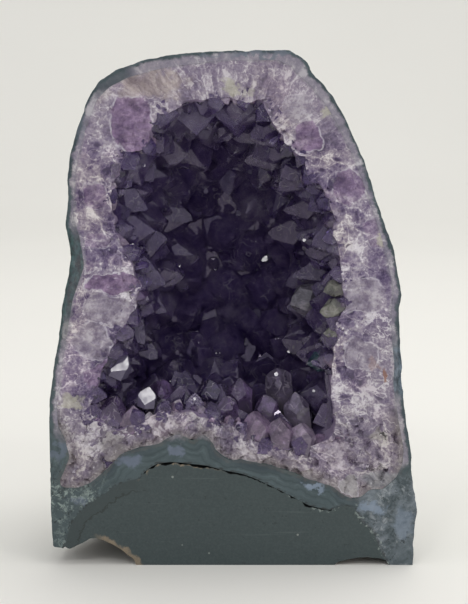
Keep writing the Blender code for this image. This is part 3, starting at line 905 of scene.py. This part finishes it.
def make_rind(polished, natural):
    piece = copied_node("agate_rind", "agate_rind_and_skin")
    past_the_saw(piece, 3 * MM, 3 * MM)
    apply_modifier(piece, "REMESH", mode="VOXEL", voxel_size=1.6 * MM)
    touching = free_skin(piece, ["basalt_base", "quartz_wall"])
    push_out(piece, touching, 0.5 * MM, False)
    rough(piece, 12 * MM, 1.4 * MM, 0.45)
    rough(piece, 3.5 * MM, 0.9 * MM, 0.45)
    sawn(piece, 1.5 * MM, 0.0)
    points = points_of(piece)
    flat = points[:, [0, 2]]
    to_quartz = distance_to(QUARTZ, flat)
    to_outer = distance_to(OUTER, flat)
    keep(piece, "bands", np.stack([to_outer, points[:, 2], to_quartz], axis=1))
    keep(piece, "rim", np.stack([round_the_spine(flat), -to_quartz, points[:, 1]], axis=1))
    keep(piece, "arch", distance_to(ARCH, flat, closed=False))
    two_finishes(piece, 0.0, polished, natural)
    smooth_but_sharp(piece, 40)
    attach(piece, "root")
    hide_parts("agate_rind")


# The rim's small crystal faces, in two sizes: how many, how far they tilt and how deep they step
FACET_LAYERS = ((9000, 0.5, 0.9 * MM), (2600, 0.75, 1.6 * MM))
FACET_BEND = 1.2 * MM


def facet_relief(piece, face):
    """Breaks the rim's face into small tilted crystal faces, deepest above the agate and along the mouth."""
    chosen = random.Random(RIM_SEED)
    noise.seed_set(RIM_SEED)
    layers = []
    for count, tilt, step in FACET_LAYERS:
        seeds = kdtree.KDTree(count)
        tilts = []
        for number in range(count):
            seeds.insert((chosen.uniform(-0.094, 0.094), 0, chosen.uniform(0.03, 0.26)), number)
            tilts.append((chosen.uniform(-tilt, tilt), chosen.uniform(-tilt, tilt), chosen.random() * step))
        seeds.balance()
        layers.append((seeds, tilts))
    zone = np.zeros(len(piece.data.vertices), np.float32)
    piece.data.attributes["zone"].data.foreach_get("value", zone)
    for vertex in piece.data.vertices:
        if vertex.co.y > FRONT + face + 0.02 * MM:
            continue
        bend = noise.noise_vector(vertex.co * 300) * FACET_BEND
        low = min(max((0.085 - vertex.co.z) / 0.02, 0), 1)
        strengths = (
            0.35 + 0.7 * max(zone[vertex.index] - 0.4, 0), 0.25 * max(zone[vertex.index] - 0.6, 0) + 0.8 * low
        )
        dip = 0
        for (seeds, tilts), strength in zip(layers, strengths):
            spot, number, _ = seeds.find((vertex.co.x + bend.x, 0, vertex.co.z + bend.z))
            across, up, step = tilts[number]
            dip += max(step + across * (vertex.co.x - spot[0]) + up * (vertex.co.z - spot[2]), 0) * strength
        vertex.co.y += dip * min(zone[vertex.index] * 10, 1)


def make_quartz(polished, natural):
    piece = copied_node("quartz_wall", "quartz_rim")
    past_the_saw(piece, 3 * MM, 0)
    apply_modifier(piece, "REMESH", mode="VOXEL", voxel_size=1.6 * MM)
    apply_modifier(piece, "DISPLACE", strength=1.3 * MM, mid_level=0.0)
    by_mouth = distance_to(HOLLOW, points_of(piece)[:, [0, 2]]) < 5 * MM
    piece.vertex_groups.new(name="skin").add(np.nonzero(by_mouth)[0].tolist(), 1.0, "REPLACE")
    rough(piece, 7 * MM, 5 * MM, 0.5)
    sawn(piece, 0.75 * MM, QUARTZ_FACE)
    points = points_of(piece)
    flat = points[:, [0, 2]]
    outward = distance_to(QUARTZ, flat)
    inward = distance_to(HOLLOW, flat)
    keep(piece, "rim", np.stack([round_the_spine(flat), outward, points[:, 1]], axis=1))
    keep(piece, "zone", outward / np.maximum(outward + inward, 1e-6))
    two_finishes(piece, QUARTZ_FACE, polished, natural)
    facet_relief(piece, QUARTZ_FACE)
    smooth_but_sharp(piece, 12)
    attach(piece, "root")
    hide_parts("quartz_wall")


# The crystals

SIDES = 6
PATTERNS = 6                # differently cut points, one of which each crystal copies
ROOT_DEPTH = 4 * MM         # how deep a crystal's bar stands in the wall
LINING_FACE = 8 * MM        # how far behind the sawn face the crust's own lining ends
STEEP = math.radians(52)    # how far a tip face's normal leans from the crystal's axis
FLAT_STEPS = [-0.12, 0.3, 0.12, 0.3, 0.12, 0.3]     # one large tip face and five small ones

# A dark pocket at the right end of the floor has no small points
RECESS_LEFT = 34 * MM
RECESS_TOP = 100 * MM
RECESS_DEPTH = 26 * MM


def crystal_pattern(name, steps):
    """One quartz point of unit radius, its tip at height 1: a six-sided bar cut by six sloping faces."""
    bpy.ops.mesh.primitive_cylinder_add(
        vertices=SIDES, radius=1, depth=5, location=(0, 0, -1.5), end_fill_type="NGON"
    )
    point = bpy.context.object
    point.name = name
    edit(point)
    for number in range(SIDES):
        turn = math.radians(60) * number + math.radians(30)
        lean = Vector((math.cos(turn) * math.sin(STEEP), math.sin(turn) * math.sin(STEEP), math.cos(STEEP)))
        bpy.ops.mesh.select_all(action="SELECT")
        bpy.ops.mesh.bisect(
            plane_co=Vector((0, 0, 1)) + lean * steps[number],
            plane_no=lean,
            use_fill=True,
            clear_outer=True,
        )
    bpy.ops.mesh.select_all(action="SELECT")
    bpy.ops.mesh.normals_make_consistent(inside=False)
    leave_edit()
    only(point)
    bpy.ops.object.transform_apply(location=True, rotation=True, scale=True)
    return point


def crystal_patterns():
    random.seed(CRUST_SEED)
    patterns = []
    for _ in range(PATTERNS):
        steps = [
            random.uniform(-0.02, 0.06) if side % 2 else random.uniform(0.04, 0.3) for side in range(SIDES)
        ]
        patterns.append(crystal_pattern("point_pattern", steps))
    return patterns


def wall_samples(count, seed):
    """Random places on the hollow's wall, each with the direction into the hollow."""
    node = frame["nodes"]["quartz_wall"].data
    node.calc_loop_triangles()
    triangles = []
    weights = []
    for triangle in node.loop_triangles:
        a, b, c = (node.vertices[index].co for index in triangle.vertices)
        middle = (a + b + c) / 3
        normal = (b - a).cross(c - a)
        area = normal.length / 2
        if area < 1e-12:
            continue
        normal.normalize()
        axis = Vector((0.002, min(middle.y, 0.005), 0.14 if middle.z > 0.14 else max(middle.z, 0.1)))
        if middle.y < FRONT + 0.1 * MM or normal.dot(axis - middle) <= 0:
            continue
        triangles.append((a, b, c, normal))
        weights.append(area)
    chosen = random.Random(seed)
    samples = []
    for a, b, c, normal in chosen.choices(triangles, weights, k=count):
        u, v = chosen.random(), chosen.random()
        if u + v > 1:
            u, v = 1 - u, 1 - v
        samples.append((a + (b - a) * u + (c - a) * v, normal))
    return samples


def stand(pattern, root, axis, radius, height, turn, group, foot_depth=ROOT_DEPTH):
    """Copies a point with its own mesh, its tip at a height over its root, its bar grown into the wall."""
    piece = pattern.copy()
    piece.data = pattern.data.copy()
    foot = -(height - radius + foot_depth) / radius
    for vertex in piece.data.vertices:
        if vertex.co.z < -2:
            vertex.co.z = min(foot, -0.9)
    upright = axis.to_track_quat("Z", "Y").to_matrix().to_4x4()
    place = Matrix.Translation(root + axis * (height - radius)) @ upright @ Matrix.Rotation(turn, 4, "Z")
    piece.data.transform(place @ Matrix.Diagonal((radius, radius, radius, 1)))
    group.objects.link(piece)
    return piece


def crowd(patterns, sizes, group, seed, lean=0.45, top=1.0):
    """Stands points on the wall, each size in the room that the sizes before it left.

    A size is its spacing, radii, heights, number of tries and the depths behind the sawn face.
    """
    chosen = random.Random(seed)
    placed = []
    for spacing, radii, heights, tries, near, far in sizes:
        for root, normal in wall_samples(tries, seed + int(spacing * 1e5)):
            if root.z > top or not near < root.y - FRONT < far:
                continue
            if root.x > RECESS_LEFT and root.z < RECESS_TOP and root.y < FRONT + RECESS_DEPTH:
                continue
            if any((root - other).length < (spacing + room) / 2 for other, room in placed):
                continue
            placed.append((root, spacing))
            radius = chosen.uniform(*radii)
            height = chosen.uniform(*heights)
            tilt = Vector((chosen.uniform(-1, 1), chosen.uniform(-1, 1), chosen.uniform(-1, 1)))
            axis = (normal + tilt * lean).normalized()
            stand(chosen.choice(patterns), root, axis, radius, height, chosen.uniform(0, math.pi), group)


def make_crust(finish, patterns):
    piece = copied_node("crystal_crust", "amethyst_crust")
    group = bpy.data.collections.new("points")
    sizes = [
        (17 * MM, (8.5 * MM, 10.5 * MM), (14 * MM, 19 * MM), 400, 16 * MM, 1),
        (12 * MM, (5.8 * MM, 8.0 * MM), (11 * MM, 16 * MM), 2000, 10 * MM, 1),
        (8 * MM, (4.0 * MM, 6.0 * MM), (6 * MM, 11 * MM), 9000, 1.5 * MM, 12 * MM),
        (8 * MM, (3.4 * MM, 5.0 * MM), (9 * MM, 14 * MM), 5000, 10 * MM, 1),
        (5.5 * MM, (2.0 * MM, 3.2 * MM), (7 * MM, 10 * MM), 5000, 4 * MM, 1),
        (4.0 * MM, (1.3 * MM, 2.2 * MM), (7 * MM, 12 * MM), 6000, 3 * MM, 1),
    ]
    sawn(piece, 40 * MM, LINING_FACE)
    crowd(patterns, sizes, group, CRUST_SEED)
    apply_modifier(
        piece, "BOOLEAN", operation="UNION", solver="MANIFOLD", operand_type="COLLECTION", collection=group
    )
    for point in list(group.objects):
        bpy.data.objects.remove(point)
    bpy.data.collections.remove(group)
    sawn(piece, 40 * MM, CRUST_FACE)
    edit(piece)
    bpy.ops.mesh.select_all(action="SELECT")
    bpy.ops.mesh.dissolve_limited(angle_limit=math.radians(0.5))
    leave_edit()
    piece.data.materials.clear()
    piece.data.materials.append(finish)
    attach(piece, "root")
    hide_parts("crystal_crust")
    return piece


# Crystals seen one by one in the hollow and at its mouth: root across, behind the face and up, tip
# across, behind and up, radius, all in millimetres, and the tint
TINTS = {
    "purple": shade(90, 74, 108), "deep": shade(60, 50, 82), "lilac": shade(142, 128, 148),
    "pink": shade(138, 118, 142), "grey": shade(112, 108, 120), "olive": shade(120, 120, 112),
    # The near-black navy tint is painted shade of the dark pocket at the floor's right end, over the deep
    # colour of the crystals there.
    "white": shade(186, 178, 188), "teal": shade(58, 80, 90), "navy_shade": shade(22, 20, 42),
    "dusk": shade(98, 90, 110), "rose": shade(118, 101, 125)
}
PLACED_POINTS = [
    (-74, 9, 74, -70, 5, 89, 5.5, "lilac"), (-66, 9, 66, -60, 3, 88, 8.0, "purple"),
    (-54, 9, 62, -51, 3, 83, 7.5, "rose"), (-50, 16, 72, -49, 9, 91, 6.5, "deep"),
    (-36, 18, 76, -37, 11, 95, 7.5, "purple"), (-24, 16, 74, -25, 9, 91, 6.5, "deep"),
    (-17, 10, 70, -18, 4, 84, 5.0, "lilac"), (-9, 9, 66, -10, 3, 80, 4.5, "grey"),
    (-2, 14, 66, -4, 7, 87, 6.0, "purple"), (4, 8, 61, 2, 3, 75, 5.0, "lilac"),
    (14, 12, 56, 10, 4, 80, 8.5, "rose"), (25, 10, 52, 23, 3, 77, 7.5, "rose"),
    (36, 11, 50, 34, 3, 74, 7.5, "lilac"), (46, 10, 52, 43, 4, 68, 5.5, "rose"),
    (25, 26, 76, 22, 20, 99, 8.0, "dusk"), (34, 16, 66, 31, 9, 89, 7.5, "dusk"),
    # The two navy crystals stand in the dark pocket: their tint is painted shade.
    (19, 16, 66, 15, 10, 87, 6.5, "purple"), (64, 22, 84, 46, 15, 88, 8.0, "navy_shade"),
    (52, 28, 66, 40, 20, 84, 8.0, "navy_shade"), (60, 18, 70, 49, 10, 74, 5.0, "deep"),
    (4, 24, 70, 3, 15, 95, 7.5, "purple"), (-12, 24, 72, -13, 14, 94, 7.0, "deep"),
    (60, 9, 60, 52, 4, 74, 5.5, "pink"), (62, 7, 146, 45, 5, 141, 5.0, "olive"),
    (64, 9, 134, 43, 5, 131, 6.5, "olive"), (60, 7, 121, 45, 4, 120, 5.0, "olive"),
    (52, 42, 134, 29, 27, 131, 8.5, "grey"), (52, 20, 104, 37, 12, 103, 6.0, "teal"),
    (-62, 10, 146, -45, 4, 144, 5.0, "purple"), (-66, 9, 131, -49, 5, 128, 6.0, "lilac"),
    (-44, 6, 66, -43, 2, 80, 3.4, "white"), (-38, 5, 66, -38, 2, 77, 3.0, "white"),
    (-34, 6, 68, -33, 2, 82, 3.4, "lilac"), (-30, 5, 66, -28, 2, 78, 3.0, "white"),
    (-46, 5, 64, -48, 2, 75, 3.0, "lilac"), (-24, 5, 66, -23, 2, 79, 3.0, "lilac"),
    (62, 8, 160, 51, 5, 166, 5.5, "purple"), (-66, 8, 206, -54, 4, 200, 4.5, "purple")
]


def grade(piece, root, tip, tint):
    """Keeps each vertex's share of the way from root to tip, and the crystal's own tint."""
    way = tip - root
    rise = np.clip((points_of(piece) - np.array(root)) @ np.array(way.normalized()) / way.length, 0, 1)
    keep(piece, "height", rise)
    keep(piece, "tint", np.tile(np.array(tint), (len(rise), 1)))


def joined(pieces, name):
    deselect()
    for piece in pieces:
        piece.select_set(True)
    bpy.context.view_layer.objects.active = pieces[0]
    bpy.ops.object.join()
    pieces[0].name = name
    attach(pieces[0], "root")
    return pieces[0]


def make_placed_points(finish, patterns):
    chosen = random.Random(RIM_SEED)
    group = bpy.data.collections.new("placed points")
    bpy.context.scene.collection.children.link(group)
    pieces = []
    for number, (*numbers, radius, tint) in enumerate(PLACED_POINTS):
        root = Vector((numbers[0] * MM, FRONT + numbers[1] * MM, numbers[2] * MM))
        tip = Vector((numbers[3] * MM, FRONT + numbers[4] * MM, numbers[5] * MM))
        turn = chosen.uniform(0, math.pi)
        length = (tip - root).length
        piece = stand(
            chosen.choice(patterns), root, (tip - root).normalized(), radius * MM, length, turn, group, 0
        )
        edit(piece)
        bpy.ops.mesh.select_all(action="SELECT")
        cut = FRONT + (0.9 + 0.01 * number) * MM
        bpy.ops.mesh.bisect(plane_co=(0, cut, 0), plane_no=(0, -1, 0), use_fill=True, clear_outer=True)
        leave_edit()
        piece.data.materials.clear()
        piece.data.materials.append(finish)
        grade(piece, root, tip, TINTS[tint])
        pieces.append(piece)
    piece = joined(pieces, "placed_crystals")


def make_mouth_points(finish, patterns):
    """Small pale crystals all round the mouth's edge, set back behind the sawn face."""
    chosen = random.Random(RIM_SEED + 2)
    group = bpy.data.collections.new("mouth points")
    bpy.context.scene.collection.children.link(group)
    sizes = [
        (7 * MM, (3.2 * MM, 4.8 * MM), (3.5 * MM, 7 * MM), 5000, 0.5 * MM, 5 * MM),
        (4.5 * MM, (1.8 * MM, 2.8 * MM), (3 * MM, 6 * MM), 6000, 0.5 * MM, 6 * MM),
    ]
    crowd(patterns, sizes, group, CRUST_SEED + 9, lean=0.5)
    floor = [
        (4 * MM, (1.6 * MM, 3.0 * MM), (3.5 * MM, 7.5 * MM), 9000, 1 * MM, 20 * MM),
        (2.6 * MM, (1.0 * MM, 1.8 * MM), (3.0 * MM, 6.5 * MM), 9000, 1 * MM, 14 * MM),
    ]
    crowd(patterns, floor, group, CRUST_SEED + 17, lean=0.8, top=96 * MM)
    names = ["purple", "lilac", "pink", "purple", "grey", "lilac", "deep", "deep"]
    pieces = list(group.objects)
    for piece in pieces:
        set_back(piece, 0.5 * MM)
        points = points_of(piece)
        middle = Vector(points.mean(axis=0))
        tip = Vector(points[np.argmax(points @ np.array(piece_axis(piece)))])
        piece.data.materials.clear()
        piece.data.materials.append(finish)
        grade(piece, middle - (tip - middle), tip, TINTS[chosen.choice(names)])
    piece = joined(pieces, "mouth_crystals")


def set_back(piece, behind):
    """Moves a crystal into the stone until none of it stands before the given depth."""
    short = FRONT + behind - points_of(piece)[:, 1].min()
    if short > 0:
        piece.data.transform(Matrix.Translation((0, short, 0)))


def piece_axis(piece):
    """The direction of a crystal's long axis: that of its longest edges."""
    mesh = piece.data
    ends = [(mesh.vertices[a].co, mesh.vertices[b].co) for a, b in (edge.vertices for edge in mesh.edges)]
    first, second = max(ends, key=lambda pair: (pair[1] - pair[0]).length)
    way = (second - first).normalized()
    middle = Vector(points_of(piece).mean(axis=0))
    inside = Vector((0, FRONT, min(max(middle.z, 0.1), 0.2)))
    return way if way.dot(inside - middle) > 0 else -way


# Faces turned so that they throw the lamp's light to the view: the place where each is seen on the
# sawn face, across and up, how far behind it the tip lies (None: on the crust), radius, and the direction
# that its axis leans to
FLASHING_POINTS = [
    (-54.5, 110.5, 6, 6.6, (0.5, -0.2, 0.9)), (-43, 93, 5, 5.2, (0.1, -0.2, 1.0)),
    (3, 180.5, None, 1.6, (0.6, 0, -0.6)), (8.5, 201, None, 1.3, (0.5, 0, -0.7)),
    (44, 194, None, 1.3, (-0.7, 0, -0.4)), (-44, 204.5, None, 1.1, (0.5, 0, -0.6)),
    (-33, 187.5, None, 1.2, (0.6, 0, -0.3)), (-45, 124, None, 1.6, (0.7, 0, 0.2)),
    (-42.5, 122, None, 1.1, (0.7, 0, 0.4)), (14, 157.5, None, 2.2, (-0.5, 0, -0.6)),
    (21.5, 101, 12, 1.3, (0.1, -0.2, 1.0)), (-9, 153, None, 0.9, (0.2, 0, -0.8)),
    (34, 168, None, 1.1, (-0.8, 0, 0.1)), (24, 86, None, 1.0, (0, 0, 1.0)), (-20, 88, None, 1.0, (0, 0, 1.0)),
    (41, 108, None, 1.4, (-0.8, 0, 0.3)), (27, 112, None, 0.9, (-0.5, 0, 0.6)),
    (-50, 166, None, 1.0, (0.8, 0, 0.1)), (40, 92, None, 0.9, (-0.3, 0, 0.9)), (0, 82, None, 1.0, (0, 0, 1.0))
]
GLINTS = 18                 # tiny faces that flash at random places
LAMP = (-0.5, -1.3, 1.5)
VIEW_RISE = math.radians(9)
VIEW_DISTANCE = 0.8
VIEW_AIM = Vector((0, FRONT, 136.7 * MM))
VIEW_PLACE = VIEW_AIM + Vector((0, -math.cos(VIEW_RISE), math.sin(VIEW_RISE))) * VIEW_DISTANCE
FOCAL_PIXELS = 1600
PHOTO_PIXELS = 604          # the photo's height
SENSOR = 36                 # millimetres


def flashing_point(pattern, tip, radius, leaning, group):
    face = ((VIEW_PLACE - tip).normalized() + (Vector(LAMP) - tip).normalized()).normalized()
    side = Vector(leaning) - face * face.dot(Vector(leaning))
    axis = face * math.cos(STEEP) + side.normalized() * math.sin(STEEP)
    outward = (face - axis * math.cos(STEEP)) / math.sin(STEEP)
    across = axis.cross(outward)
    first = outward * math.cos(math.radians(30)) - across * math.sin(math.radians(30))
    second = axis.cross(first)
    turned = Matrix((first, second, axis)).transposed().to_4x4()
    piece = pattern.copy()
    piece.data = pattern.data.copy()
    for vertex in piece.data.vertices:
        if vertex.co.z < -2:
            vertex.co.z = -0.9
    place = Matrix.Translation(tip - axis * radius) @ turned @ Matrix.Diagonal((radius, radius, radius, 1))
    piece.data.transform(place)
    group.objects.link(piece)
    return piece


def make_flashing_points(finish, pattern, crust):
    group = bpy.data.collections.new("flashing points")
    bpy.context.scene.collection.children.link(group)
    corners = [vertex.co for vertex in crust.data.vertices]
    tree = BVHTree.FromPolygons(corners, [polygon.vertices[:] for polygon in crust.data.polygons])
    spots = list(FLASHING_POINTS)
    chosen = random.Random(RIM_SEED + 4)
    for _ in range(GLINTS):
        leaning = (chosen.uniform(-1, 1), 0, chosen.uniform(-1, 1))
        spots.append((chosen.gauss(0, 26), chosen.uniform(82, 225), None, chosen.uniform(0.3, 0.55), leaning))
    pieces = []
    for across, up, behind, radius, leaning in spots:
        seen = Vector((across * MM, FRONT, up * MM))
        ray = (seen - VIEW_PLACE).normalized()
        if behind is None:
            hit = tree.ray_cast(VIEW_PLACE, ray)[0]
            if hit is None or hit.y < FRONT + 4 * MM:
                continue
            tip = hit - ray * radius * 0.6 * MM
        else:
            tip = seen + ray * (behind * MM / ray.y)
        piece = flashing_point(pattern, tip, radius * MM, leaning, group)
        set_back(piece, 0.9 * MM)
        piece.data.materials.clear()
        piece.data.materials.append(finish)
        pieces.append(piece)
    piece = joined(pieces, "bright_faces")


# Floor, light and camera

FLOOR_WIDTH, FLOOR_DEPTH, FLOOR_MIDDLE = 6, 4, 0.6      # metres
BACKDROP_HEIGHT = 3
BACKDROP_CURVE = 1.2
LIGHT_COLOUR = (1.0, 0.99, 0.97)
LIGHT_TARGET = (0, 0, 0.12)
ROOM_STRENGTH = 0.78
ROOM_TONES = ((0.36, (0.52, 0.53, 0.56, 1)), (0.62, (1.30, 1.31, 1.34, 1)))     # of walls, dark to bright

def make_stage():
    bpy.ops.mesh.primitive_plane_add(size=1, location=(0, FLOOR_MIDDLE, 0))
    floor = bpy.context.object
    floor.name = "pale_floor"
    floor.scale = (FLOOR_WIDTH, FLOOR_DEPTH, 1)
    only(floor)
    bpy.ops.object.transform_apply(location=True, rotation=True, scale=True)
    pick_vertices(floor, lambda co: co.y > 2)
    bpy.ops.mesh.extrude_region_move(TRANSFORM_OT_translate={"value": (0, 0, BACKDROP_HEIGHT)})
    leave_edit()
    apply_modifier(floor, "BEVEL", width=BACKDROP_CURVE, segments=12, limit_method="ANGLE")
    only(floor)
    bpy.ops.object.shade_smooth()
    f = Finish("pale paper")
    f.set(Base_Color=f.mix(f.noise(3, 2, 0.5), shade(233, 231, 224), shade(237, 235, 228)), Roughness=0.9)
    floor.data.materials.append(f.material)


def make_light(name, place, size, power):
    data = bpy.data.lights.new(name, "AREA")
    data.shape = "RECTANGLE"
    data.size = size[0]
    data.size_y = size[1]
    data.energy = power
    data.color = LIGHT_COLOUR
    lamp = bpy.data.objects.new(name, data)
    lamp.location = place
    lamp.rotation_euler = (Vector(LIGHT_TARGET) - Vector(place)).to_track_quat("-Z", "Y").to_euler()
    bpy.context.scene.collection.objects.link(lamp)


def make_lights():
    make_light("ceiling light", (0.4, 0.35, 1.9), (1.8, 1.6), 19)
    make_light("lamp", LAMP, (0.22, 0.22), 2.5)
    make_light("second lamp", (0.9, -0.9, 1.3), (0.18, 0.18), 1.6)
    world = bpy.data.worlds.new("room")
    world.use_nodes = True
    nodes = world.node_tree.nodes
    links = world.node_tree.links
    sky = nodes["Background"]
    sky.inputs["Strength"].default_value = ROOM_STRENGTH
    where = nodes.new("ShaderNodeTexCoord")
    walls = nodes.new("ShaderNodeTexNoise")
    walls.inputs["Scale"].default_value = 1.6
    walls.inputs["Detail"].default_value = 2
    shades = nodes.new("ShaderNodeValToRGB")
    for element, (position, tone) in zip(shades.color_ramp.elements, ROOM_TONES):
        element.position = position
        element.color = tone
    links.new(where.outputs["Generated"], walls.inputs["Vector"])
    links.new(walls.outputs["Fac"], shades.inputs[0])
    links.new(shades.outputs[0], sky.inputs["Color"])
    bpy.context.scene.world = world
    bpy.context.scene.view_settings.view_transform = "Standard"


def make_camera():
    data = bpy.data.cameras.new("view")
    data.sensor_fit = "VERTICAL"
    data.sensor_height = SENSOR
    data.lens = SENSOR * FOCAL_PIXELS / PHOTO_PIXELS
    data.clip_start = 0.02
    camera = bpy.data.objects.new("view", data)
    camera.location = VIEW_PLACE
    camera.rotation_euler = (math.pi / 2 - VIEW_RISE, 0, 0)
    bpy.context.scene.collection.objects.link(camera)
    bpy.context.scene.camera = camera


make_camera()
make_stage()
make_lights()
make_basalt(polished_basalt(), rough_basalt())
make_rind(polished_agate(), celadonite_skin())
make_quartz(rim_quartz(), milky_quartz())
patterns = crystal_patterns()
crust = make_crust(amethyst(), patterns)
crystal = placed_crystal()
make_placed_points(crystal, patterns)
make_mouth_points(crystal, patterns)
flat_pattern = crystal_pattern("flat_pattern", FLAT_STEPS)
make_flashing_points(bright_face(), flat_pattern, crust)
patterns.append(flat_pattern)
for pattern in patterns:
    bpy.data.objects.remove(pattern)
